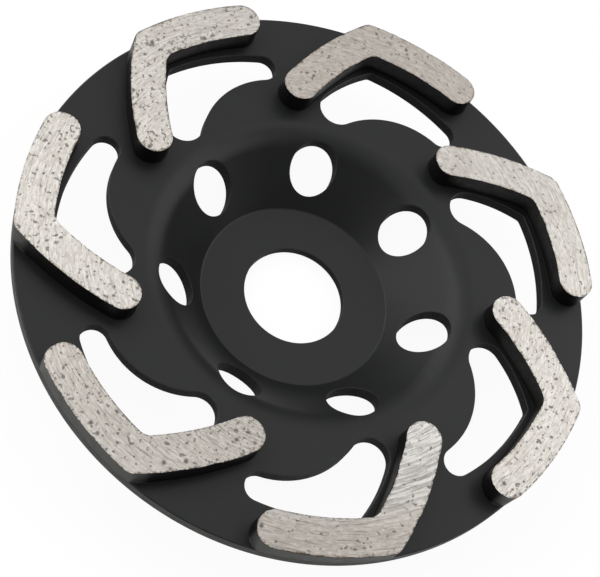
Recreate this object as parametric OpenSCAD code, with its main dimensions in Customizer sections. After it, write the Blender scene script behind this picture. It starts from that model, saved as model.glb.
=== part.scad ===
// Diamond cup grinding wheel for an angle grinder.
// One pressed steel cup with windows and vent holes, and seven boomerang-shaped diamond segments.
// Millimetres. +Z is the grinding side. The origin is on the bore axis, on the hub's back face.
// Angles round the wheel run from a vent hole on the X axis.

/* [Cup body] */
// Outside diameter of the steel rim
rim_d = 123.8; // [110:0.1:180]
// Thickness of the steel, the same all over
steel_t = 2.8; // [2:0.1:4]
// Height of the rim's front face above the hub's front face
cup_depth = 12.1; // [8:0.1:15]
// Diameter at which the hub's flat and the cone would meet without their bend
hub_flat_d = 41.5; // [36:0.1:46]
// Slope of the cone above the hub's plane, in degrees
cone_angle = 45; // [38:1:60]
// Inside radius of the bend between the hub and the cone, on the front
hub_bend_r = 0.8; // [0.5:0.1:4]
// Outside radius of the bend between the cone and the rim, on the front
rim_bend_r = 8.5; // [8:0.1:10]
// Broken edge round the outside of the rim, front and back
rim_edge = 0.4; // [0.2:0.1:0.8]

/* [Bore] */
// Diameter of the arbor bore
bore_d = 22.23; // [16:0.01:30]
// Chamfer at the back end of the bore
bore_chamfer = 0.8; // [0.2:0.1:1.2]

/* [Vent holes] */
// Diameter of a vent hole through the cone
vent_d = 10.2; // [6:0.1:12]
// How far outside the middle of the cone's slope a vent hole is centred
vent_shift = 1; // [0:0.1:1.5]
// Lean of a vent hole's axis towards the wheel's axis, in degrees
vent_lean = 8; // [0:1:20]

/* [Segments] */
// Height of a segment above the rim's front face
seg_h = 4.9; // [2:0.1:8]
// Width of a segment's outer arm, which runs along the rim
seg_outer_w = 7.8; // [6:0.1:9]
// Width of a segment's inner arm, which runs in towards the cone
seg_inner_w = 7.55; // [6:0.05:9]
// Distance inside the rim's edge of the outer arm's middle at its end
seg_outer_end_in = 3.4; // [3:0.1:5]
// Angle round the wheel of the outer arm's end, in degrees
seg_outer_end_at = 21.2; // [19:0.1:26]
// Distance inside the rim's edge of the point where the arms' middles meet
seg_bend_in = 3.3; // [3:0.1:5]
// Angle round the wheel of the point where the arms' middles meet, in degrees
seg_bend_at = 43.3; // [41:0.1:46]
// Distance inside the rim's edge of the inner arm's middle at its end
seg_inner_end_in = 19.5; // [16:0.1:20]
// Angle round the wheel of the inner arm's end, in degrees
seg_inner_end_at = 60.7; // [58:0.1:62]
// Radius of the outer arm's middle line
seg_outer_curve_r = 60.1; // [50:0.1:80]
// Radius of the inner arm's middle line
seg_inner_curve_r = 62.1; // [50:0.1:90]
// Radius on the outside corner between the arms
seg_nose_r = 3; // [0.4:0.1:5]
// Radius in the crook between the arms
seg_crook_r = 3; // [1:0.1:4]

/* [Windows] */
// Steel left between a window's corner and the segment's outer arm
win_outer_gap = 1; // [0.5:0.1:2]
// Steel left between a window's corner and the segment's inner arm
win_inner_gap = 1.6; // [0.5:0.1:3]
// Radius of a window's corner, in the segment's crook
win_corner_r = 1.4; // [0.8:0.1:3]
// Distance inside the rim's edge of the middle of a window's narrow end
win_narrow_in = 12.6; // [12:0.1:15]
// Angle round the wheel of a window's narrow end, in degrees
win_narrow_at = 17.2; // [14:0.1:20]
// Radius of a window's narrow end
win_narrow_r = 3; // [2:0.1:4]
// Distance outside the rim's flat inner edge of the middle of a window's wide end
win_wide_out = 5.1; // [4.5:0.1:7]
// Angle round the wheel of a window's wide end, in degrees
win_wide_at = 46.9; // [45:0.1:49]
// Radius of a window's wide end
win_wide_r = 4.1; // [3:0.1:4.4]
// Radius of a window's edge along the segment's outer arm
win_outer_curve_r = 44.3; // [40:0.1:60]
// Radius of a window's edge along the segment's inner arm
win_trail_curve_r = 32.5; // [28:0.1:60]
// Radius of the lobe of steel beside a window
win_lobe_r = 18.3; // [16:0.1:24]

/* [Hidden] */
NODES = ["cup_body", "segment_1", "segment_2", "segment_3", "segment_4", "segment_5", "segment_6", "segment_7"];

// Segments, windows and vent holes are one pattern, repeated round the wheel once for each segment.
copies = len(NODES) - 1;
pitch_angle = 360 / copies;

// Facets of short and long arcs, the overshoot of a cut, and a reach past any outline here.
$fn = 96;
long_fn = 240;
cut = 1;
reach = 12;

// How far a round overlaps the arcs that it joins, so that the outlines cross instead of just touching.
overlap = 0.001;

// Sizes and heights of the cup.
rim_r = rim_d / 2;
bore_r = bore_d / 2;
hub_r = hub_flat_d / 2;
knee_r = hub_r + cup_depth / tan(cone_angle);
rim_back_z = cup_depth;
rim_front_z = cup_depth + steel_t;
cone_normal = [sin(cone_angle), -cos(cone_angle)];
hub_bend_c = [hub_r - hub_bend_r * tan(cone_angle / 2), steel_t + hub_bend_r];
rim_bend_c = [knee_r + rim_bend_r * tan(cone_angle / 2), rim_front_z - rim_bend_r];

// Middle of a vent hole on the cone's front face.
vent_pitch_r = (hub_r + knee_r) / 2 + vent_shift;
vent_z = steel_t + (vent_pitch_r - hub_r) * tan(cone_angle);

// Unit vector in a direction given in degrees.
function dir(angle) = [cos(angle), sin(angle)];

// Unit vector from a to b.
function unit(a, b) = (b - a) / norm(b - a);

// The point where two circles cross, to the left of the line from one centre to the other.
function crossing(c1, r1, c2, r2) =
    let (
        d = norm(c2 - c1),
        along = (r1 * r1 - r2 * r2 + d * d) / (2 * d),
        off = sqrt(r1 * r1 - along * along),
        u = unit(c1, c2)
    )
    c1 + along * u + off * [-u[1], u[0]];

// A segment's two ends and its bend, on the arms' middle lines, and the centres of those lines.
outer_end = (rim_r - seg_outer_end_in) * dir(seg_outer_end_at);
bend = (rim_r - seg_bend_in) * dir(seg_bend_at);
inner_end = (rim_r - seg_inner_end_in) * dir(seg_inner_end_at);
outer_arm_c = crossing(outer_end, seg_outer_curve_r, bend, seg_outer_curve_r);
inner_arm_c = crossing(bend, seg_inner_curve_r, inner_end, seg_inner_curve_r);

// Distances from those centres to the arms' outside and inside edges.
outer_arm_out = seg_outer_curve_r + seg_outer_w / 2;
outer_arm_in = seg_outer_curve_r - seg_outer_w / 2;
inner_arm_out = seg_inner_curve_r + seg_inner_w / 2;
inner_arm_in = seg_inner_curve_r - seg_inner_w / 2;

// The rounds at a window's narrow end, wide end and corner. The corner follows the segment's crook.
narrow_end = (rim_r - win_narrow_in) * dir(win_narrow_at);
wide_end = (rim_bend_c[0] + win_wide_out) * dir(win_wide_at);
corner = crossing(
    outer_arm_c, outer_arm_in - win_outer_gap - win_corner_r,
    inner_arm_c, inner_arm_in - win_inner_gap - win_corner_r
);

// Centres of the three long arcs that join a window's rounds.
win_outer_c = crossing(
    narrow_end, win_outer_curve_r - win_narrow_r, corner, win_outer_curve_r - win_corner_r
);
win_trail_c = crossing(
    corner, win_trail_curve_r - win_corner_r, wide_end, win_trail_curve_r - win_wide_r
);
win_lobe_c = crossing(narrow_end, win_lobe_r + win_narrow_r, wide_end, win_lobe_r + win_wide_r);

// A round disc about a point.
module disc(c, r, fn = $fn) {
    translate(c) circle(r = r, $fn = fn);
}

// What two large discs share, with the corner at their crossing rounded.
module rounded_lens(c1, r1, c2, r2, corner_r) {
    c = crossing(c1, r1 - corner_r, c2, r2 - corner_r);
    difference() {
        intersection() {
            disc(c1, r1, long_fn);
            disc(c2, r2, long_fn);
        }
        polygon([
            c,
            c + reach * unit(c1, c),
            c + reach * (unit(c1, c) + unit(c2, c)),
            c + reach * unit(c2, c)
        ]);
    }
    disc(c, corner_r + overlap);
}

// Half section of all that lies above the cup's back surface.
module above_back() {
    difference() {
        union() {
            polygon([
                [0, 0],
                [hub_bend_c[0], 0],
                hub_bend_c + (hub_bend_r + steel_t) * cone_normal,
                rim_bend_c - (rim_bend_r - steel_t) * cone_normal,
                [rim_bend_c[0], rim_back_z],
                [rim_r - rim_edge, rim_back_z],
                [rim_r, rim_back_z + rim_edge],
                [rim_r, rim_front_z - rim_edge],
                [rim_r - rim_edge, rim_front_z],
                [rim_bend_c[0], rim_front_z],
                [rim_bend_c[0], rim_front_z + cut],
                [0, rim_front_z + cut]
            ]);
            disc(hub_bend_c, hub_bend_r + steel_t, long_fn);
        }
        disc(rim_bend_c, rim_bend_r - steel_t, long_fn);
    }
}

// Half section of the dish that the hub, the cone and both bends enclose on the front.
module dish() {
    difference() {
        union() {
            polygon([
                [0, steel_t],
                [hub_bend_c[0], steel_t],
                hub_bend_c + hub_bend_r * cone_normal,
                rim_bend_c - rim_bend_r * cone_normal,
                [rim_bend_c[0], rim_front_z],
                [rim_bend_c[0], rim_front_z + 2 * cut],
                [0, rim_front_z + 2 * cut]
            ]);
            disc(hub_bend_c, hub_bend_r, long_fn);
        }
        disc(rim_bend_c, rim_bend_r, long_fn);
    }
}

// Half section of the pressed cup, one sheet of even thickness from the bore to the rim.
module cup_section() {
    difference() {
        above_back();
        dish();
    }
}

// Outline of one window: three long arcs joined by three rounds.
module window_outline() {
    difference() {
        intersection() {
            rounded_lens(win_outer_c, win_outer_curve_r, win_trail_c, win_trail_curve_r, win_corner_r);
            polygon([
                narrow_end,
                narrow_end + reach * unit(win_outer_c, narrow_end),
                corner + reach * (unit(win_outer_c, corner) + unit(win_trail_c, corner)),
                wide_end + reach * unit(win_trail_c, wide_end),
                wide_end,
                wide_end + reach * unit(wide_end, win_lobe_c),
                narrow_end + reach * unit(narrow_end, win_lobe_c)
            ]);
        }
        disc(win_lobe_c, win_lobe_r, long_fn);
    }
    disc(narrow_end, win_narrow_r + overlap);
    disc(wide_end, win_wide_r + overlap);
}

// Cutter for one vent hole, leaning towards the wheel's axis.
module vent_cutter() {
    translate([vent_pitch_r, 0, vent_z])
        rotate([0, -vent_lean, 0])
            cylinder(h = 2 * reach, r = vent_d / 2, center = true);
}

// The steel cup, with its bore, vent holes and windows.
module cup_body() {
    color([0.09, 0.09, 0.1])
        difference() {
            rotate_extrude($fn = long_fn) cup_section();
            translate([0, 0, -cut]) cylinder(h = steel_t + 2 * cut, r = bore_r);
            translate([0, 0, -cut])
                cylinder(h = bore_chamfer + cut, r1 = bore_r + bore_chamfer + cut, r2 = bore_r);
            for (i = [0:copies - 1])
                rotate([0, 0, i * pitch_angle]) {
                    vent_cutter();
                    translate([0, 0, -cut])
                        linear_extrude(height = rim_front_z + 2 * cut) window_outline();
                }
        }
}

// Outline of one segment: two curved arms with round ends, meeting in a bend.
module segment_outline() {
    outer_u = unit(outer_arm_c, outer_end);
    inner_u = unit(inner_arm_c, inner_end);
    intersection() {
        difference() {
            rounded_lens(outer_arm_c, outer_arm_out, inner_arm_c, inner_arm_out, seg_nose_r);
            rounded_lens(outer_arm_c, outer_arm_in, inner_arm_c, inner_arm_in, seg_crook_r);
        }
        polygon([
            outer_end + reach * outer_u,
            outer_end - reach * outer_u,
            inner_end - reach * inner_u,
            inner_end + reach * inner_u,
            bend + reach * (unit(outer_arm_c, bend) + unit(inner_arm_c, bend))
        ]);
    }
    disc(outer_end, seg_outer_w / 2 + overlap);
    disc(inner_end, seg_inner_w / 2 + overlap);
}

// One diamond segment, seated on the rim's front face.
module segment(i) {
    color([0.78, 0.76, 0.74])
        rotate([0, 0, i * pitch_angle])
            translate([0, 0, rim_front_z])
                linear_extrude(height = seg_h) segment_outline();
}

cup_body();
for (i = [0:copies - 1])
    segment(i);
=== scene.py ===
import math

import bpy
import numpy as np
from mathutils import Matrix, Vector
from mathutils.geometry import delaunay_2d_cdt


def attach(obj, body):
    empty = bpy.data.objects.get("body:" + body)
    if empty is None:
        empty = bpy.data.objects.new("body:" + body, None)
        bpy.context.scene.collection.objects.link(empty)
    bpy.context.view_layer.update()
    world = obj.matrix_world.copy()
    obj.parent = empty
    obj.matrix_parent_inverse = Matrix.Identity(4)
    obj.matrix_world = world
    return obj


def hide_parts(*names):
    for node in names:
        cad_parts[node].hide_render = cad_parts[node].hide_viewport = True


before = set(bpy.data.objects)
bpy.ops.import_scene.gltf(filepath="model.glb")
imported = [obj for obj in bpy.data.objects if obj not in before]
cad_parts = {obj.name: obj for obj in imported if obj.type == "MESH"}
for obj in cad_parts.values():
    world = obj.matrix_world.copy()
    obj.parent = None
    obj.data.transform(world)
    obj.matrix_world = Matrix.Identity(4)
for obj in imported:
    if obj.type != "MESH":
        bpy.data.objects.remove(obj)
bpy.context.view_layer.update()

# Sizes of the part in millimetres, as in its own source. First the steel cup, its bore and its vent holes.
RIM_R = 61.9
STEEL_T = 2.8
CUP_DEPTH = 12.1
HUB_R = 20.75
HUB_BEND_R = 0.8
RIM_BEND_R = 8.5
SLOPE_DEG = 45
BORE_R = 22.23 / 2
BORE_CHAMFER = 0.8
VENT_R = 5.1
VENT_SHIFT = 1.0
VENT_LEAN = math.radians(8)

# Segments, windows and vent holes, each this many round the wheel.
COPIES = 7

# A segment's height, the widths of its arms, the radii of their middle lines, and the rounds between them.
SEG_H = 4.9
SEG_OUTER_W = 7.8
SEG_INNER_W = 7.55
SEG_OUTER_CURVE_R = 60.1
SEG_INNER_CURVE_R = 62.1
SEG_NOSE_R = 3.0
SEG_CROOK_R = 3.0

# A window's gaps to the segment's arms, its three rounds, and the three long arcs between them.
WIN_OUTER_GAP = 1.0
WIN_INNER_GAP = 1.6
WIN_CORNER_R = 1.4
WIN_NARROW_R = 3.0
WIN_WIDE_R = 4.1
WIN_OUTER_CURVE_R = 44.3
WIN_TRAIL_CURVE_R = 32.5
WIN_LOBE_R = 18.3

# Places, as a distance inside the rim's edge and an angle round the wheel in degrees.
SEG_OUTER_END = (3.4, 21.2)
SEG_BEND = (3.3, 43.3)
SEG_INNER_END = (19.5, 60.7)
WIN_NARROW_END = (12.6, 17.2)

# A window's wide end is placed by its distance outside the inner edge of the rim's flat.
WIN_WIDE_OUT = 5.1
WIN_WIDE_AT = 46.9

# Heights, radii and bend centres that follow from those sizes.
SLOPE = math.radians(SLOPE_DEG)
KNEE_R = HUB_R + CUP_DEPTH / math.tan(SLOPE)
RIM_Z = CUP_DEPTH + STEEL_T
TOP_Z = RIM_Z + SEG_H
HUB_BEND_C = (HUB_R - HUB_BEND_R * math.tan(SLOPE / 2), STEEL_T + HUB_BEND_R)
RIM_BEND_C = (KNEE_R + RIM_BEND_R * math.tan(SLOPE / 2), RIM_Z - RIM_BEND_R)
VENT_PITCH_R = (HUB_R + KNEE_R) / 2 + VENT_SHIFT
VENT_Z = STEEL_T + (VENT_PITCH_R - HUB_R) * math.tan(SLOPE)

# The sides of the steel, and the height of the rim's flat on each.
FRONT, BACK = 1, -1
FLAT_Z = {FRONT: RIM_Z, BACK: CUP_DEPTH}

# Rounds on the steel's edges, and the number of rings of faces across them.
ROUNDS = {
    "rim": {FRONT: 0.4, BACK: 0.4},
    "window": {FRONT: 0.16, BACK: 0.12},
    "vent": {FRONT: 0.16, BACK: 0.12},
}
ROUND_STEPS = 4
BORE_ROUND = 0.12
BORE_ROUND_STEPS = 3
CHAMFER_ROUND = 0.1
CHAMFER_ROUND_STEPS = 2

# The paint's round at a segment's foot, and how much of its reach past the rim a segment keeps there.
FOOT_ROUND = 0.16
FOOT_SHARE = 0.3

# A segment's ragged edge: how far it stands back from the outline, and how far below the top the wall ends,
# both from least to most. Then the wear at the wall's end, the lip's height and tilt, and the strip inside.
CHIP = (0.02, 0.22)
DROP = (0.05, 0.3)
BROW_WEAR = 0.6
LIP_H = 0.004
LIP_TILT = 0.8
STRIP_W = 0.6
CHIP_SEED = 40
DROP_SEED = 90

# The ragged line: points to a wave and its share, and the level below which the line stays smooth.
RAGGED_WAVES = ((40, 0.45), (12, 0.35), (5, 0.35))
RAGGED_LEVEL = 0.35

# How far two points of an arc stand apart at most, in millimetres and in radians, and the fewest points.
ARC_STEP = 1.0
ARC_STEP_FINE = 0.25
ARC_TURN = 0.14
ARC_POINTS = 4

# Points round the rim, the bore and a vent, and rings of points on the sheets, each as radius and number.
RIM_POINTS = 360
BORE_POINTS = 144
VENT_POINTS = 64
HUB_RINGS = ((14, 96), (17, 120))
CONE_RINGS = ((24.6, 216), (26.6, 216), (28.6, 216))
RIM_RINGS = ((39, 288), (43, 288), (48, 288), (53, 288), (57, 288), (60, 288))
HUB_BEND_RINGS, HUB_BEND_POINTS = 7, 216
RIM_BEND_RINGS, RIM_BEND_POINTS = 11, 288

# Grid of points over a ground face, and the least distance of such extra points from an outline.
GRID_STEP = 2.0
GRID_REACH = 64
CLEARANCE = 0.35

# Each line of a vent's wall is searched this far both ways for the sheet, by this many halvings.
VENT_SEARCH = 12.0
HALVINGS = 50

# How brown, pitted and scored each segment's ground face is, and how polished its inner arm, from 0 to 1.
# The polish's light streaks are painted highlights.
STATE_NAMES = ("brown", "pitted", "lined", "polished_highlit")
STATES = {
    1: (0.12, 0.1, 0.1, 0.0),
    2: (0.95, 0.45, 0.45, 0.0),
    3: (0.25, 1.0, 0.4, 0.0),
    4: (0.15, 0.7, 0.35, 0.0),
    5: (0.55, 0.85, 0.85, 0.0),
    6: (0.95, 0.4, 1.0, 1.0),
    7: (0.1, 0.65, 0.3, 0.0),
}

# The polish and its painted highlights end at this distance from the wheel's axis, and fade over this
# length.
POLISH_HIGHLIT_R = 57
POLISH_HIGHLIT_FADE = 6

# Colours of the paint on the cup, on its cut walls and on the segments' sides. A pair is mixed by a noise.
# The walls' and sides' paint is darker than the cup's, which is painted shade, and their rubbed grey on the
# outermost sides is partly a painted reflection of the lit floor.
PAINT = ((0.0098, 0.0102, 0.0104, 1), (0.0130, 0.0136, 0.0139, 1))
PAINT_SPECK = (0.022, 0.022, 0.022, 1)
PAINT_RUBBED = (0.047, 0.048, 0.048, 1)
# The cut walls' paint is darker than the cup's: painted shade inside the windows, vents and bore.
CUT_PAINT_SHADED = ((0.0050, 0.0050, 0.0048, 1), (0.0090, 0.0090, 0.0086, 1))
# The rim's rubbed grey outer side, partly a painted reflection of the lit floor.
CUT_RUBBED_AND_REFLECTION = (0.092, 0.097, 0.09, 1)
# The segments' sides: black paint made darker than the cup's, which is painted shade round the segments.
SIDE_PAINT_SHADED = ((0.0035, 0.0035, 0.0033, 1), (0.0080, 0.0078, 0.0072, 1))
# The outermost sides' rubbed grey, partly a painted reflection of the lit floor.
SIDE_RUBBED_AND_REFLECTION = (0.082, 0.086, 0.078, 1)
SIDE_BARE = (0.14, 0.105, 0.08, 1)

# Colours of a ground face.
GROUND = ((0.60, 0.56, 0.51, 1), (1.0, 0.965, 0.905, 1))
GROUND_BROWN = (0.53, 0.455, 0.39, 1)
# The polished arm's streaks, dark to near white; the light ones are painted highlights.
GROUND_POLISHED_HIGHLIT = ((0.30, 0.28, 0.26, 1), (1.0, 0.99, 0.96, 1))
GROUND_GROOVE = (0.24, 0.21, 0.185, 1)
GROUND_HOLE = (0.10, 0.088, 0.08, 1)
GROUND_RUST = (0.36, 0.25, 0.17, 1)

# Distances from the axis, in metres, between which the outermost sides turn rubbed grey, which is partly a
# painted reflection of the lit floor.
CUT_RUBBED_AND_REFLECTION_FROM = (0.0610, 0.0615)
SIDE_RUBBED_AND_REFLECTION_FROM = (0.0592, 0.0606)

# The floor's half width and its height in metres, its two colours, and the strength of its own plain white,
# with the share of it that the camera and reflections see.
FLOOR_HALF = 6.0
FLOOR_Z = -0.00005
PAPER = ((0.86, 0.86, 0.86, 1), (0.9, 0.9, 0.9, 1))
PAPER_GLOW = 1.04
CAMERA_SHARE = 0.9
REFLECTED_SHARE = 0.5

# Lamps: azimuth and elevation in degrees, distance, width and height in metres, and radiance.
LAMPS = {
    "softbox_left": (170, 33, 1.3, 2.4, 1.45, 1.25),
    "softbox_right": (22, 40, 1.4, 1.4, 1.1, 1.12),
    "softbox_back": (84, 50, 1.6, 1.5, 1.4, 0.5),
    "softbox_top": (178, 76, 1.5, 1.5, 1.5, 0.5),
}
WORLD = (0.21, 0.21, 0.21, 1)

# The camera as solved from the photograph: its place in metres, and its focal length in pixels.
CAMERA_PLACE = (
    (0.9107124, -0.3908179, -0.1336572, -0.0453924),
    (0.2776352, 0.8188067, -0.5024682, -0.1711824),
    (0.3058130, 0.4204961, 0.8542022, 0.2973214),
    (0, 0, 0, 1),
)
FOCAL_PX = 1608
PHOTO_PX = 600
SENSOR_MM = 36


def heading(degrees):
    """Unit vector in the plane of the wheel."""
    a = math.radians(degrees)
    return np.array([math.cos(a), math.sin(a)])


def placed(inset, degrees):
    """The point at a distance inside the rim's edge and an angle round the wheel."""
    return (RIM_R - inset) * heading(degrees)


def unit(v):
    """Vectors scaled to length one, along the last axis."""
    return v / np.maximum(np.linalg.norm(v, axis=-1, keepdims=True), 1e-12)


def crossing(c1, r1, c2, r2):
    """Where two circles cross, to the left of the line from the first centre to the second."""
    d = np.linalg.norm(c2 - c1)
    along = (r1 * r1 - r2 * r2 + d * d) / (2 * d)
    u = (c2 - c1) / d
    return c1 + along * u + math.sqrt(r1 * r1 - along * along) * np.array([-u[1], u[0]])


def on(centre, towards, radius):
    """The point of a circle in the direction of another point."""
    return centre + radius * unit(towards - centre)


def arc(centre, radius, start, end, ccw, side, step):
    """Points of an arc and their normals, outwards for side 1. The end point is left to the next arc."""
    a = math.atan2(*(start - centre)[::-1])
    b = math.atan2(*(end - centre)[::-1])
    turn = (b - a) % (2 * math.pi) if ccw else -((a - b) % (2 * math.pi))
    count = max(ARC_POINTS, math.ceil(abs(turn) * radius / min(step, ARC_TURN * radius)))
    angles = a + turn * np.arange(count) / count
    out = np.c_[np.cos(angles), np.sin(angles)]
    return centre + radius * out, side * out


def joined(curves, step=ARC_STEP):
    """One closed outline from arcs that follow each other: its points and their normals."""
    arcs = [arc(*curve, step) for curve in curves]
    return np.vstack([a[0] for a in arcs]), np.vstack([a[1] for a in arcs])


def arm_centres():
    """Centres of the middle lines of a segment's outer and inner arm."""
    bend = placed(*SEG_BEND)
    outer = crossing(placed(*SEG_OUTER_END), SEG_OUTER_CURVE_R, bend, SEG_OUTER_CURVE_R)
    inner = crossing(bend, SEG_INNER_CURVE_R, placed(*SEG_INNER_END), SEG_INNER_CURVE_R)
    return outer, inner


def segment_outline():
    """A segment's outline seen from the front, with normals that point out of the segment."""
    outer_end, inner_end = placed(*SEG_OUTER_END), placed(*SEG_INNER_END)
    oc, ic = arm_centres()
    oo, oi = SEG_OUTER_CURVE_R + SEG_OUTER_W / 2, SEG_OUTER_CURVE_R - SEG_OUTER_W / 2
    io, ii = SEG_INNER_CURVE_R + SEG_INNER_W / 2, SEG_INNER_CURVE_R - SEG_INNER_W / 2
    nose = crossing(oc, oo - SEG_NOSE_R, ic, io - SEG_NOSE_R)
    crook = crossing(oc, oi - SEG_CROOK_R, ic, ii - SEG_CROOK_R)
    curves = [
        (oc, oo, on(oc, nose, oo), on(oc, outer_end, oo), False, 1),
        (outer_end, SEG_OUTER_W / 2, on(oc, outer_end, oo), on(oc, outer_end, oi), False, 1),
        (oc, oi, on(oc, outer_end, oi), on(oc, crook, oi), True, -1),
        (crook, SEG_CROOK_R, on(oc, crook, oi), on(ic, crook, ii), True, -1),
        (ic, ii, on(ic, crook, ii), on(ic, inner_end, ii), True, -1),
        (inner_end, SEG_INNER_W / 2, on(ic, inner_end, ii), on(ic, inner_end, io), False, 1),
        (ic, io, on(ic, inner_end, io), on(ic, nose, io), False, 1),
        (nose, SEG_NOSE_R, on(ic, nose, io), on(oc, nose, oo), False, 1),
    ]
    return joined(curves, ARC_STEP_FINE)


def window_outline():
    """A window's outline seen from the front, with normals that point into the steel."""
    oc, ic = arm_centres()
    outer_r, trail_r, lobe_r = WIN_OUTER_CURVE_R, WIN_TRAIL_CURVE_R, WIN_LOBE_R
    narrow = placed(*WIN_NARROW_END)
    wide = (RIM_BEND_C[0] + WIN_WIDE_OUT) * heading(WIN_WIDE_AT)
    corner = crossing(
        oc, SEG_OUTER_CURVE_R - SEG_OUTER_W / 2 - WIN_OUTER_GAP - WIN_CORNER_R,
        ic, SEG_INNER_CURVE_R - SEG_INNER_W / 2 - WIN_INNER_GAP - WIN_CORNER_R,
    )
    outer = crossing(narrow, outer_r - WIN_NARROW_R, corner, outer_r - WIN_CORNER_R)
    trail = crossing(corner, trail_r - WIN_CORNER_R, wide, trail_r - WIN_WIDE_R)
    lobe = crossing(narrow, lobe_r + WIN_NARROW_R, wide, lobe_r + WIN_WIDE_R)
    curves = [
        (outer, outer_r, on(outer, corner, outer_r), on(outer, narrow, outer_r), False, 1),
        (narrow, WIN_NARROW_R, on(outer, narrow, outer_r), on(lobe, narrow, lobe_r), False, 1),
        (lobe, lobe_r, on(lobe, narrow, lobe_r), on(lobe, wide, lobe_r), True, -1),
        (wide, WIN_WIDE_R, on(lobe, wide, lobe_r), on(trail, wide, trail_r), False, 1),
        (trail, trail_r, on(trail, wide, trail_r), on(trail, corner, trail_r), False, 1),
        (corner, WIN_CORNER_R, on(trail, corner, trail_r), on(outer, corner, outer_r), False, 1),
    ]
    return joined(curves)


def turned(points, k):
    """Points or directions turned to the k-th place round the wheel."""
    a = 2 * math.pi * k / COPIES
    c, s = math.cos(a), math.sin(a)
    out = np.array(points, float)
    out[..., 0] = c * points[..., 0] - s * points[..., 1]
    out[..., 1] = s * points[..., 0] + c * points[..., 1]
    return out


def lifted(xy, z):
    """Points of the plane raised to a height."""
    return np.c_[xy, np.full(len(xy), float(z))]


def circle(r, count):
    """Points of a circle round the wheel's axis."""
    a = 2 * math.pi * np.arange(count) / count
    return r * np.c_[np.cos(a), np.sin(a)]


def bend_radii(side):
    """Radii of the hub's and the rim's bend on one side of the steel."""
    if side == FRONT:
        return HUB_BEND_R, RIM_BEND_R
    return HUB_BEND_R + STEEL_T, RIM_BEND_R - STEEL_T


def sheet(r, side):
    """Height of the cup's front or back at radii r, and its normal's parts outwards and upwards."""
    r = np.asarray(r, float)
    hub_arc, rim_arc = bend_radii(side)
    s, c = math.sin(SLOPE), math.cos(SLOPE)
    line_r, line_z = HUB_BEND_C[0] + hub_arc * s, HUB_BEND_C[1] - hub_arc * c
    tilt = np.select(
        [r <= HUB_BEND_C[0], r < line_r, r <= RIM_BEND_C[0] - rim_arc * s, r < RIM_BEND_C[0]],
        [0 * r, (r - HUB_BEND_C[0]) / hub_arc, s + 0 * r, (RIM_BEND_C[0] - r) / rim_arc],
        0,
    )
    tilt = np.clip(tilt, 0, s)
    lift = np.sqrt(1 - tilt**2)
    z = np.select(
        [r < line_r, r <= RIM_BEND_C[0] - rim_arc * s],
        [HUB_BEND_C[1] - hub_arc * lift, line_z + (r - line_r) * s / c],
        RIM_BEND_C[1] + rim_arc * lift,
    )
    return z, -side * tilt, side * lift


def on_sheet(xy, side):
    """Points and normals of the cup's front or back over points of the plane."""
    r = np.linalg.norm(xy, axis=1)
    z, nr, nz = sheet(r, side)
    out = xy / r[:, None]
    return np.c_[xy, z], np.c_[out * nr[:, None], nz]


def inside(points, loop):
    """Whether each point lies inside a closed outline."""
    x, y = points[:, 0][:, None], points[:, 1][:, None]
    x1, y1 = loop[:, 0], loop[:, 1]
    x2, y2 = np.roll(x1, -1), np.roll(y1, -1)
    spans = (y1 > y) != (y2 > y)
    at = x1 + (y - y1) * (x2 - x1) / np.where(y2 == y1, 1, y2 - y1)
    return (spans & (x < at)).sum(1) % 2 == 1


def triangles(loops, extra):
    """Triangles inside the first closed outline and outside the others, with extra points among them."""
    border = np.vstack(loops)
    keep = np.ones(len(extra), bool)

    # Distances are taken to a few points of the border at a time, which saves memory.
    batch = 64
    for i in range(0, len(border), batch):
        near = np.linalg.norm(extra[:, None] - border[None, i : i + batch], axis=2).min(1)
        keep &= near > CLEARANCE
    keep &= inside(extra, loops[0])
    for loop in loops[1:]:
        keep &= ~inside(extra, loop)
    coords = np.vstack([border, extra[keep]])
    edges, start = [], 0
    for loop in loops:
        n = len(loop)
        edges += [(start + i, start + (i + 1) % n) for i in range(n)]
        start += n
    out = delaunay_2d_cdt([Vector(p) for p in coords], edges, [], 0, 1e-7)
    back = [o[0] for o in out[3]]
    tris = np.array([[back[i] for i in f] for f in out[2]])
    middle = coords[tris].mean(1)
    use = inside(middle, loops[0])
    for loop in loops[1:]:
        use &= ~inside(middle, loop)
    return coords, tris[use]


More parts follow.
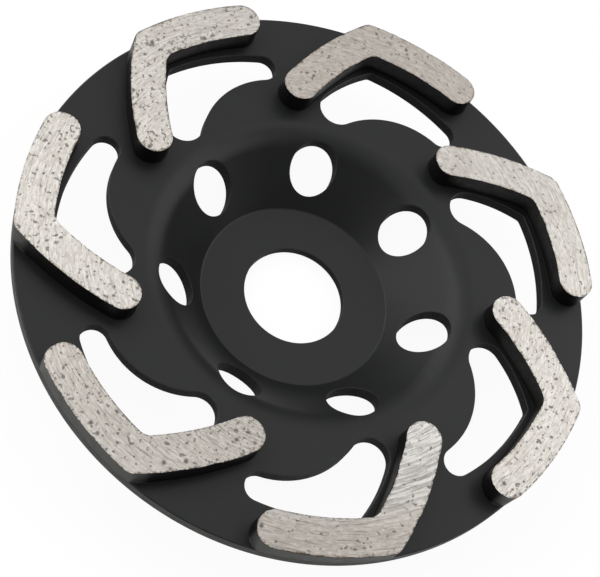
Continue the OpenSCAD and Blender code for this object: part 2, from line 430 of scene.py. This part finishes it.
class Skin:
    """A closed surface in the making, in millimetres: points with their own normals, and faces."""

    def __init__(self):
        self.points, self.normals, self.wear, self.faces, self.slots = [], [], [], [], []
        self.count = 0

    def add(self, points, normals, wear=0.0):
        """Adds points, worn from 0 to 1, and gives their numbers."""
        n = len(points)
        self.points.append(points)
        self.normals.append(unit(normals))
        self.wear.append(np.full(n, float(wear)))
        self.count += n
        return np.arange(self.count - n, self.count)

    def patch(self, faces, slot=0):
        """Adds faces, all triangles or all quads, with one material."""
        self.faces.append(faces)
        self.slots.append(np.full(len(faces), slot))

    def rings(self, rings, slot=0):
        """Adds faces between closed rings with as many points each."""
        for a, b in zip(rings, rings[1:]):
            self.patch(np.c_[a, np.roll(a, -1), np.roll(b, -1), b], slot)

    def build(self, name, materials, state=None):
        """Makes the object. state holds further values for its points, by name."""
        points = np.vstack(self.points)
        normals = np.vstack(self.normals)
        faces = []
        for group in self.faces:
            p = points[group]
            flat = np.cross(p[:, 2] - p[:, 0], p[:, -1] - p[:, 1])
            ways = (flat * normals[group].mean(1)).sum(1)
            faces += [list(f) if w > 0 else list(f[::-1]) for f, w in zip(group.tolist(), ways)]
        mesh = bpy.data.meshes.new(name)
        mesh.from_pydata((points / 1000).tolist(), [], faces)
        for m in materials:
            mesh.materials.append(m)
        mesh.polygons.foreach_set("material_index", np.concatenate(self.slots).astype(np.int32))
        mesh.polygons.foreach_set("use_smooth", np.ones(len(faces), bool))
        values = {"worn": np.concatenate(self.wear), **(state or {})}
        for key, value in values.items():
            layer = mesh.attributes.new(key, "FLOAT", "POINT")
            layer.data.foreach_set("value", np.broadcast_to(value, len(points)).astype(np.float32))
        mesh.normals_split_custom_set_from_vertices(normals.tolist())
        mesh.update()
        obj = bpy.data.objects.new(name, mesh)
        bpy.context.scene.collection.objects.link(obj)
        return obj


def bent(skin, first, corner, last, n_first, n_last, steps, wear=1.0):
    """Rings of a round from first to last, which bends about the sharp corner that it replaces."""
    rings = []
    for k in range(steps + 1):
        u = k / steps
        p = (1 - u) ** 2 * first + 2 * u * (1 - u) * corner + u * u * last
        n = unit((1 - u) * n_first + u * n_last)
        rings.append(skin.add(p, n, wear * math.sin(math.pi * u)))
    return rings


def vent_edge(side):
    """A vent's edge: rings on the sheet, at the sharp corner and on the wall, and two of their normals."""
    distance = ROUNDS["vent"][side]
    a = 2 * math.pi * np.arange(VENT_POINTS) / VENT_POINTS
    centre = np.array([VENT_PITCH_R, 0, VENT_Z])
    axis = np.array([-math.sin(VENT_LEAN), 0, math.cos(VENT_LEAN)])
    u = np.array([math.cos(VENT_LEAN), 0, math.sin(VENT_LEAN)])
    v = np.array([0, 1.0, 0])
    out = np.cos(a)[:, None] * u + np.sin(a)[:, None] * v
    base = centre + VENT_R * out

    low, high = np.full(VENT_POINTS, -VENT_SEARCH), np.full(VENT_POINTS, VENT_SEARCH)
    for _ in range(HALVINGS):
        mid = (low + high) / 2
        p = base + mid[:, None] * axis
        above = p[:, 2] > sheet(np.linalg.norm(p[:, :2], axis=1), side)[0]
        high = np.where(above, mid, high)
        low = np.where(above, low, mid)
    corner = base + ((low + high) / 2)[:, None] * axis

    along = unit(np.roll(corner, -1, 0) - np.roll(corner, 1, 0))
    sheet_n = on_sheet(corner[:, :2], side)[1]
    across = np.cross(along, sheet_n)
    across *= np.sign((across * out).sum(1))[:, None]
    down = np.cross(along, out)
    down *= -np.sign((down * sheet_n).sum(1))[:, None]
    ring, ring_n = on_sheet((corner + distance * unit(across))[:, :2], side)
    wall = corner + distance * unit(down)
    off = wall - centre
    off -= (off @ axis)[:, None] * axis
    wall += (VENT_R - np.linalg.norm(off, axis=1))[:, None] * unit(off)
    return ring, corner, wall, ring_n, -unit(off)


def cup_skin():
    """The pressed cup: its front and back sheets, its walls, and the rounds between them."""
    skin = Skin()
    loops = {FRONT: [], BACK: []}
    borders = {FRONT: [], BACK: []}

    def border(side, ring, numbers):
        """Makes a ring of points part of the border of the front or back sheet."""
        loops[side].append(ring[:, :2])
        borders[side].append(numbers)

    def edge(side, ring, corner, wall, ring_n, wall_n, slot, steps=ROUND_STEPS):
        """Rounds one edge of a sheet, and gives the last ring, on the wall."""
        rings = bent(skin, ring, corner, wall, ring_n, wall_n, steps)
        border(side, ring, rings[0])
        skin.rings(rings, slot)
        return rings[-1]

    def straight_wall(outline, inwards, kind, back_slot):
        """A wall straight through the steel, rounded into both sheets. inwards points into the steel."""
        ends = []
        wall_n = np.c_[-inwards, np.zeros(len(outline))]
        for side, slot in ((FRONT, 0), (BACK, back_slot)):
            e, z = ROUNDS[kind][side], FLAT_Z[side]
            ring = lifted(outline + e * inwards, z)
            corner, wall = lifted(outline, z), lifted(outline, z - side * e)
            up = np.tile([0.0, 0, side], (len(outline), 1))
            ends.append(edge(side, ring, corner, wall, up, wall_n, slot))
        skin.rings(ends, 1)

    outer = circle(RIM_R, RIM_POINTS)
    straight_wall(outer, -unit(outer), "rim", 0)
    window, window_n = window_outline()
    for k in range(COPIES):
        straight_wall(turned(window, k), turned(window_n, k), "window", 1)
    vents = {side: vent_edge(side) for side in (FRONT, BACK)}
    for k in range(COPIES):
        front = edge(FRONT, *(turned(a, k) for a in vents[FRONT]), 0)
        back = edge(BACK, *(turned(a, k) for a in vents[BACK]), 1)
        skin.rings([front, back], 1)

    bore = circle(BORE_R, BORE_POINTS)
    wall_n = np.c_[-unit(bore), np.zeros(len(bore))]
    up = np.tile([0.0, 0, 1], (len(bore), 1))
    slant = wall_n - up
    far = BORE_R + BORE_CHAMFER

    def bore_ring(r, z):
        """The bore's circle at another radius and a height."""
        return lifted(bore * r / BORE_R, z)

    front = edge(
        FRONT,
        bore_ring(BORE_R + BORE_ROUND, STEEL_T),
        bore_ring(BORE_R, STEEL_T),
        bore_ring(BORE_R, STEEL_T - BORE_ROUND),
        up, wall_n, 0, BORE_ROUND_STEPS,
    )
    middle = bent(
        skin,
        bore_ring(BORE_R, BORE_CHAMFER + CHAMFER_ROUND),
        bore_ring(BORE_R, BORE_CHAMFER),
        bore_ring(BORE_R + CHAMFER_ROUND, BORE_CHAMFER - CHAMFER_ROUND),
        wall_n, slant, CHAMFER_ROUND_STEPS,
    )
    back_ring = bore_ring(far + CHAMFER_ROUND, 0)
    back = bent(
        skin,
        bore_ring(far - CHAMFER_ROUND, CHAMFER_ROUND),
        bore_ring(far, 0),
        back_ring,
        slant, -up, CHAMFER_ROUND_STEPS,
    )
    skin.rings([front] + middle + back, 1)
    border(BACK, back_ring, back[-1])

    for side in (FRONT, BACK):
        hub_arc, rim_arc = bend_radii(side)
        hub_turns = np.radians(np.linspace(0, SLOPE_DEG, HUB_BEND_RINGS))
        rim_turns = np.radians(np.linspace(SLOPE_DEG, 0, RIM_BEND_RINGS))
        rings = list(HUB_RINGS)
        rings += [(r, HUB_BEND_POINTS) for r in HUB_BEND_C[0] + hub_arc * np.sin(hub_turns)]
        rings += CONE_RINGS
        rings += [(r, RIM_BEND_POINTS) for r in RIM_BEND_C[0] - rim_arc * np.sin(rim_turns)]
        rings += RIM_RINGS
        coords, tris = triangles(loops[side], np.vstack([circle(r, n) for r, n in rings]))
        ringed = np.concatenate(borders[side])
        points, normals = on_sheet(coords[len(ringed) :], side)
        numbers = np.concatenate([ringed, skin.add(points, normals)])
        skin.patch(numbers[tris])
    return skin


def ragged(count, seed, low, high):
    """A closed random line, rough on both a long and a short scale, from low to high."""
    rng = np.random.default_rng(seed)
    line = np.zeros(count)
    for spacing, share in RAGGED_WAVES:
        knots = rng.random(max(count // spacing, 4))
        at = np.arange(count) * len(knots) / count
        i = at.astype(int)
        f = at - i
        f = f * f * (3 - 2 * f)
        line += share * (knots[i % len(knots)] * (1 - f) + knots[(i + 1) % len(knots)] * f)
    line = np.clip(line - RAGGED_LEVEL, 0, None)
    return low + (high - low) * (line / line.max()) ** 2


def drawn_in(xy, share):
    """Points with the part of their reach past the rim cut down to a share of it."""
    r = np.linalg.norm(xy, axis=1)
    return xy * (np.minimum(r, RIM_R + share * np.maximum(r - RIM_R, 0)) / r)[:, None]


def segment_skin(k):
    """One segment: a foot round on the rim, painted walls, and a ground top with a ragged edge."""
    skin = Skin()
    p, n = (turned(a, k) for a in segment_outline())
    out = np.c_[n, np.zeros(len(n))]
    up = np.tile([0.0, 0, 1], (len(p), 1))

    # Where the foot reaches the rim's rounded edge, it follows it down.
    edge_round = ROUNDS["rim"][FRONT]
    ring = p + FOOT_ROUND * n
    past = np.clip((np.linalg.norm(ring, axis=1) - RIM_R) / edge_round + 1, 0, 1)
    start = lifted(drawn_in(ring, 0), RIM_Z)
    start[:, 2] -= edge_round * past * past
    bend = lifted(drawn_in(p, 0), RIM_Z)
    bend[:, 2] -= 0.5 * edge_round * past * past
    end = lifted(drawn_in(p, FOOT_SHARE), RIM_Z + FOOT_ROUND)
    foot = bent(skin, start, bend, end, up + past[:, None] * out, out, ROUND_STEPS, 0.0)

    chip = ragged(len(p), CHIP_SEED + k, *CHIP)
    drop = ragged(len(p), DROP_SEED + k, *DROP)
    brow = lifted(p, 0)
    brow[:, 2] = TOP_Z - drop
    wall = skin.add(brow, out, BROW_WEAR)
    edge = p - chip[:, None] * n
    lip = skin.add(lifted(edge, TOP_Z - LIP_H), out + LIP_TILT * up, 1.0)
    skin.rings(foot + [wall, lip])
    top = skin.add(lifted(edge, TOP_Z), up, 1.0)
    border = edge - STRIP_W * n
    inner = skin.add(lifted(border, TOP_Z), up)
    skin.rings([lip, top, inner], 1)

    span = np.arange(-GRID_REACH, GRID_REACH, GRID_STEP)
    grid = np.array([(x, y) for x in span for y in span])
    coords, tris = triangles([border], grid[np.linalg.norm(grid, axis=1) < GRID_REACH])
    rest = coords[len(border) :]
    more = skin.add(lifted(rest, TOP_Z), np.tile([0.0, 0, 1], (len(rest), 1)))
    skin.patch(np.concatenate([inner, more])[tris], 1)
    base = skin.add(start, -up)
    skin.patch(base[triangles([start[:, :2]], np.zeros((0, 2)))[1]])
    return skin


class Nodes:
    """Short calls for a material's nodes. A value is another node's output, a number or a colour."""

    def __init__(self, name):
        self.material = bpy.data.materials.new(name)
        self.material.use_nodes = True
        self.tree = self.material.node_tree
        self.shader = self.tree.nodes["Principled BSDF"]
        self.output = self.tree.nodes["Material Output"]

    def feed(self, socket, value):
        if hasattr(value, "is_output"):
            self.tree.links.new(value, socket)
        else:
            socket.default_value = value

    def node(self, kind, inputs, **values):
        """A node with its settings, and its inputs fed by name or by number."""
        n = self.tree.nodes.new(kind)
        for key, value in values.items():
            setattr(n, key, value)
        for key, value in inputs.items():
            self.feed(n.inputs[key], value)
        return n

    def math(self, op, a, b):
        return self.node("ShaderNodeMath", {0: a, 1: b}, operation=op).outputs[0]

    def plus(self, a, b):
        return self.math("ADD", a, b)

    def less(self, a, b):
        return self.math("SUBTRACT", a, b)

    def times(self, a, b):
        return self.math("MULTIPLY", a, b)

    def most(self, a, b):
        return self.math("MAXIMUM", a, b)

    def position(self):
        return self.node("ShaderNodeTexCoord", {}).outputs["Object"]

    def reach(self, at):
        """Distance from the wheel's axis."""
        flat = self.node("ShaderNodeVectorMath", {0: at, 1: (1, 1, 0)}, operation="MULTIPLY")
        size = self.node("ShaderNodeVectorMath", {0: flat.outputs[0]}, operation="LENGTH")
        return size.outputs["Value"]

    def noise(self, vector, scale, detail=2.0, roughness=0.5, output="Fac"):
        """A noise of about scale waves to one unit of the vector."""
        inputs = {"Vector": vector, "Scale": scale, "Detail": detail, "Roughness": roughness}
        return self.node("ShaderNodeTexNoise", inputs).outputs[output]

    def ramp(self, value, low, high, to_low=0.0, to_high=1.0, kind="SMOOTHSTEP"):
        """The value with low to high turned into to_low to to_high, and held at both ends."""
        inputs = {"Value": value, "From Min": low, "From Max": high, "To Min": to_low, "To Max": to_high}
        return self.node("ShaderNodeMapRange", inputs, interpolation_type=kind).outputs["Result"]

    def mix(self, factor, a, b):
        inputs = {"Factor": factor, "A": a, "B": b}
        return self.node("ShaderNodeMix", inputs, data_type="RGBA").outputs["Result"]

    def bump(self, height, strength, distance, normal=None):
        """The normal that a height of 0 to 1 over a distance in metres gives, on top of another normal."""
        inputs = {"Height": height, "Strength": strength, "Distance": distance}
        if normal is not None:
            inputs["Normal"] = normal
        return self.node("ShaderNodeBump", inputs).outputs["Normal"]

    def attribute(self, name):
        return self.node("ShaderNodeAttribute", {}, attribute_name=name).outputs["Fac"]

    def surface(self, inputs):
        """Feeds the shader, and gives the material."""
        for key, value in inputs.items():
            self.feed(self.shader.inputs[key], value)
        return self.material


def paint_material():
    """Satin black paint on pressed steel, rubbed a little along its edges."""
    m = Nodes("satin_black_paint")
    at = m.position()
    peel = m.noise(at, 900, 3, 0.55)
    flow = m.noise(at, 90)
    cloud = m.noise(at, 38, 4, 0.6)
    speck = m.noise(at, 2600, 2, 0.6)
    rub = m.times(m.attribute("worn"), m.ramp(m.noise(at, 420, 3, 0.65), 0.42, 0.62))
    colour = m.mix(m.ramp(cloud, 0.3, 0.7), *PAINT)
    colour = m.mix(m.ramp(speck, 0.68, 0.76), colour, PAINT_SPECK)
    colour = m.mix(m.times(rub, 0.4), colour, PAINT_RUBBED)
    return m.surface({
        "Base Color": colour,
        "Roughness": m.plus(m.ramp(cloud, 0.25, 0.75, 0.33, 0.41), m.times(rub, -0.05)),
        "Specular IOR Level": 0.4,
        "Normal": m.bump(flow, 0.10, 0.0006, m.bump(peel, 0.10, 0.0001)),
    })


def shear_shade_and_reflection_material():
    """Thin black paint on the steel's cut walls, matt and darker than the cup's as painted shade, and
    rubbed grey on the outer side of the rim, partly a painted reflection of the lit floor.
    """
    m = Nodes("painted_shear_shade_and_reflection")
    at = m.position()
    grain = m.noise(at, 1700, 4, 0.65)
    patch = m.noise(at, 240, 3, 0.6)
    # Rubbed grey on the rim's outer side, partly a painted reflection of the lit floor.
    side = m.times(m.ramp(m.reach(at), *CUT_RUBBED_AND_REFLECTION_FROM), m.ramp(patch, 0.3, 0.6, 0.7, 1.0))
    # The walls' paint, darker than the cup's: painted shade.
    colour = m.mix(m.ramp(patch, 0.35, 0.7), *CUT_PAINT_SHADED)
    return m.surface({
        "Base Color": m.mix(side, colour, CUT_RUBBED_AND_REFLECTION),
        "Metallic": m.times(side, 0.35),
        "Roughness": m.ramp(grain, 0.3, 0.7, 0.55, 0.72),
        "Specular IOR Level": 0.13,
        "Normal": m.bump(grain, 0.3, 0.0001),
    })


def wall_shade_and_reflection_material():
    """Black paint over the grainy sides of a segment, darker than the cup's as painted shade, and rubbed
    grey where they stand out furthest, partly a painted reflection of the lit floor.
    """
    m = Nodes("painted_sinter_shade_and_reflection")
    at = m.position()
    grain = m.noise(at, 2200, 4, 0.65)
    lump = m.noise(at, 520, 3, 0.6)
    bare = m.times(m.ramp(m.attribute("worn"), 0.5, 1.0), m.ramp(lump, 0.5, 0.62))
    # Rubbed grey on the outermost sides, partly a painted reflection of the lit floor.
    side = m.times(m.ramp(m.reach(at), *SIDE_RUBBED_AND_REFLECTION_FROM), m.ramp(lump, 0.3, 0.6, 0.65, 0.95))
    # The sides' black paint, darker than the cup's: painted shade.
    colour = m.mix(m.ramp(grain, 0.35, 0.7), *SIDE_PAINT_SHADED)
    colour = m.mix(side, colour, SIDE_RUBBED_AND_REFLECTION)
    return m.surface({
        "Base Color": m.mix(m.times(bare, 0.5), colour, SIDE_BARE),
        "Metallic": m.times(side, 0.35),
        "Roughness": m.ramp(lump, 0.3, 0.7, 0.42, 0.58),
        "Specular IOR Level": 0.2,
        "Normal": m.bump(lump, 0.2, 0.0003, m.bump(grain, 0.25, 0.00012)),
    })


def ground_material():
    """A segment's working face: ground bare, scored round the wheel, and pitted where grit fell out."""
    m = Nodes("ground_sinter")
    at = m.position()

    # Places across and along the scoring: an uneven distance from the axis, and the way round at 50 mm.
    split = m.node("ShaderNodeSeparateXYZ", {0: at})
    r = m.plus(m.reach(at), m.times(m.noise(at, 60), 0.0016))
    turn = m.times(m.math("ARCTAN2", split.outputs[1], split.outputs[0]), 0.05)

    def scored(across, along, rough, shift):
        """Noise drawn out round the wheel."""
        place = {0: m.times(r, across), 1: m.times(turn, along), 2: shift}
        return m.noise(m.node("ShaderNodeCombineXYZ", place).outputs[0], 1.0, 3, rough)

    # Fine and coarse lines, short grains, and deep grooves.
    fine = scored(4600, 300, 0.65, 1.3)
    coarse = scored(1700, 110, 0.6, 7.1)
    grain = scored(2300, 800, 0.65, 11.7)
    groove = m.ramp(m.plus(scored(3000, 190, 0.6, 4.6), m.times(m.attribute("lined"), 0.07)), 0.62, 0.71)

    # How likely the face is torn, and places shoved about so that the pits aren't round.
    cluster = m.ramp(m.noise(at, 170, 3, 0.6), 0.38, 0.68)
    torn = m.times(m.plus(cluster, m.attribute("pitted")), 0.18)
    shove = m.noise(at, 2100, output="Color")
    warp = {0: shove, 1: (0.0005, 0.0005, 0.0005), 2: at}
    warped = m.node("ShaderNodeVectorMath", warp, operation="MULTIPLY_ADD").outputs[0]

    def pits(scale, chance, near, far):
        """Holes in some cells of a pattern, with soft edges from near to far."""
        cells = m.node("ShaderNodeTexVoronoi", {"Vector": warped, "Scale": scale}, feature="F1")
        shade = m.node("ShaderNodeSeparateColor", {0: cells.outputs["Color"]})
        chosen = m.ramp(m.plus(shade.outputs[0], torn), chance, chance + 0.04)
        return m.times(chosen, m.ramp(cells.outputs["Distance"], near, far, 1, 0))

    # Large and small pits, blots, pricks, and the broken brink of the face.
    worn, polished_highlit = m.attribute("worn"), m.attribute("polished_highlit")
    blot = m.ramp(m.plus(m.noise(at, 1100, 1, 0.4), m.times(torn, 0.33)), 0.69, 0.8)
    prick = m.ramp(m.noise(at, 3600), 0.66, 0.76)
    brink = m.times(m.ramp(worn, 0.3, 1.0), m.ramp(m.noise(at, 1600, 3, 0.6), 0.5, 0.6))
    hole = m.most(pits(520, 1.06, 0.1, 0.36), m.times(pits(1150, 1.08, 0.1, 0.4), 0.8))
    hole = m.most(m.most(hole, m.times(blot, 0.8)), m.most(m.times(prick, 0.4), brink))

    # The lines give the tone, and then come brown, polish with painted highlights in its light streaks,
    # grooves, holes and rust.
    tone = m.times(m.ramp(grain, 0.34, 0.66), 0.45)
    tone = m.plus(tone, m.times(m.ramp(fine, 0.34, 0.66), 0.28))
    tone = m.plus(tone, m.times(m.ramp(coarse, 0.34, 0.66), 0.27))
    colour = m.mix(m.ramp(tone, 0.1, 0.9, kind="LINEAR"), *GROUND)
    brown = m.times(m.attribute("brown"), m.ramp(grain, 0.3, 0.7, 0.62, 0.42))
    brown = m.most(brown, m.times(m.ramp(m.noise(at, 150, 3, 0.55), 0.5, 0.72), 0.35))
    colour = m.mix(m.times(brown, m.less(1.0, polished_highlit)), colour, GROUND_BROWN)
    # The polished arm's streaks; the light ones are painted highlights.
    highlit_streaks = m.mix(m.ramp(coarse, 0.42, 0.58, 0.25, 1.0), *GROUND_POLISHED_HIGHLIT)
    colour = m.mix(m.times(polished_highlit, 0.55), colour, highlit_streaks)
    colour = m.mix(m.times(groove, 0.5), colour, GROUND_GROOVE)
    colour = m.mix(m.times(hole, 0.85), colour, GROUND_HOLE)
    rust = m.times(m.ramp(worn, 0.1, 0.9), m.ramp(m.noise(at, 260, 3, 0.6), 0.5, 0.65))

    height = m.less(m.plus(m.times(fine, 0.5), m.times(coarse, 0.5)), m.times(groove, 0.5))
    return m.surface({
        "Base Color": m.mix(m.times(rust, 0.5), colour, GROUND_RUST),
        "Metallic": m.less(m.ramp(polished_highlit, 0, 1, 0.6, 0.85), m.times(hole, 0.5)),
        "Roughness": m.plus(m.ramp(coarse, 0.3, 0.7, 0.36, 0.5), m.times(hole, 0.3)),
        "Anisotropic": 0.7,
        "Tangent": at,
        "Normal": m.bump(m.less(1.0, hole), 0.7, 0.00018, m.bump(height, 0.4, 0.00008)),
    })


def floor_material():
    """White paper. Much of what the camera sees of it is a plain white, so that shadows stay faint."""
    m = Nodes("white_paper")
    m.surface({
        "Base Color": m.mix(m.noise(m.position(), 700, 3, 0.6), *PAPER),
        "Roughness": 0.9,
        "Specular IOR Level": 0.1,
    })
    glow = m.node("ShaderNodeEmission", {"Color": (1, 1, 1, 1), "Strength": PAPER_GLOW})
    path = m.node("ShaderNodeLightPath", {}).outputs
    mirrored = m.most(path["Is Glossy Ray"], path["Is Transmission Ray"])
    seen = m.most(m.times(path["Is Camera Ray"], CAMERA_SHARE), m.times(mirrored, REFLECTED_SHARE))
    both = m.node("ShaderNodeMixShader", {0: seen, 1: m.shader.outputs[0], 2: glow.outputs[0]})
    m.feed(m.output.inputs["Surface"], both.outputs[0])
    return m.material


def softbox(name, azimuth, elevation, distance, width, height, radiance):
    """A rectangular lamp aimed at the wheel. Radiance is what a mirror would show of it."""
    light = bpy.data.lights.new(name, "AREA")
    light.shape = "RECTANGLE"
    light.size = width
    light.size_y = height
    light.energy = radiance * math.pi * width * height
    lamp = bpy.data.objects.new(name, light)
    a, e = math.radians(azimuth), math.radians(elevation)
    way = Vector((math.cos(e) * math.cos(a), math.cos(e) * math.sin(a), math.sin(e)))
    lamp.location = way * distance
    lamp.rotation_euler = way.to_track_quat("Z", "Y").to_euler()
    bpy.context.scene.collection.objects.link(lamp)


cup = cup_skin().build("painted_cup", [paint_material(), shear_shade_and_reflection_material()])
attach(cup, "root")
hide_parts("cup_body")

wall, ground = wall_shade_and_reflection_material(), ground_material()
for i in range(COPIES):
    skin = segment_skin(i)
    state = dict(zip(STATE_NAMES, STATES[i + 1]))
    reach = np.linalg.norm(np.vstack(skin.points)[:, :2], axis=1)
    # The polish with its painted highlights fades out towards the rim.
    state["polished_highlit"] = state["polished_highlit"] * np.clip((POLISH_HIGHLIT_R - reach) / POLISH_HIGHLIT_FADE, 0, 1)
    piece = skin.build(f"ground_segment_{i + 1}", [wall, ground], state)
    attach(piece, "root")
    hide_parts(f"segment_{i + 1}")

corners = [(x * FLOOR_HALF, y * FLOOR_HALF, 0) for x, y in ((-1, -1), (1, -1), (1, 1), (-1, 1))]
floor_mesh = bpy.data.meshes.new("floor")
floor_mesh.from_pydata(corners, [], [(0, 1, 2, 3)])
floor_mesh.materials.append(floor_material())
floor = bpy.data.objects.new("floor", floor_mesh)
floor.location.z = FLOOR_Z
bpy.context.scene.collection.objects.link(floor)

for name, values in LAMPS.items():
    softbox(name, *values)

world = bpy.data.worlds.new("studio")
world.use_nodes = True
world.node_tree.nodes["Background"].inputs["Color"].default_value = WORLD
world.node_tree.nodes["Background"].inputs["Strength"].default_value = 1.0
bpy.context.scene.world = world

camera_data = bpy.data.cameras.new("camera")
camera_data.sensor_fit = "HORIZONTAL"
camera_data.sensor_width = SENSOR_MM
camera_data.lens = SENSOR_MM * FOCAL_PX / PHOTO_PX
camera_data.clip_start = 0.01
camera = bpy.data.objects.new("camera", camera_data)
camera.matrix_world = Matrix(CAMERA_PLACE)
bpy.context.scene.collection.objects.link(camera)
bpy.context.scene.camera = camera
bpy.context.scene.view_settings.view_transform = "Standard"
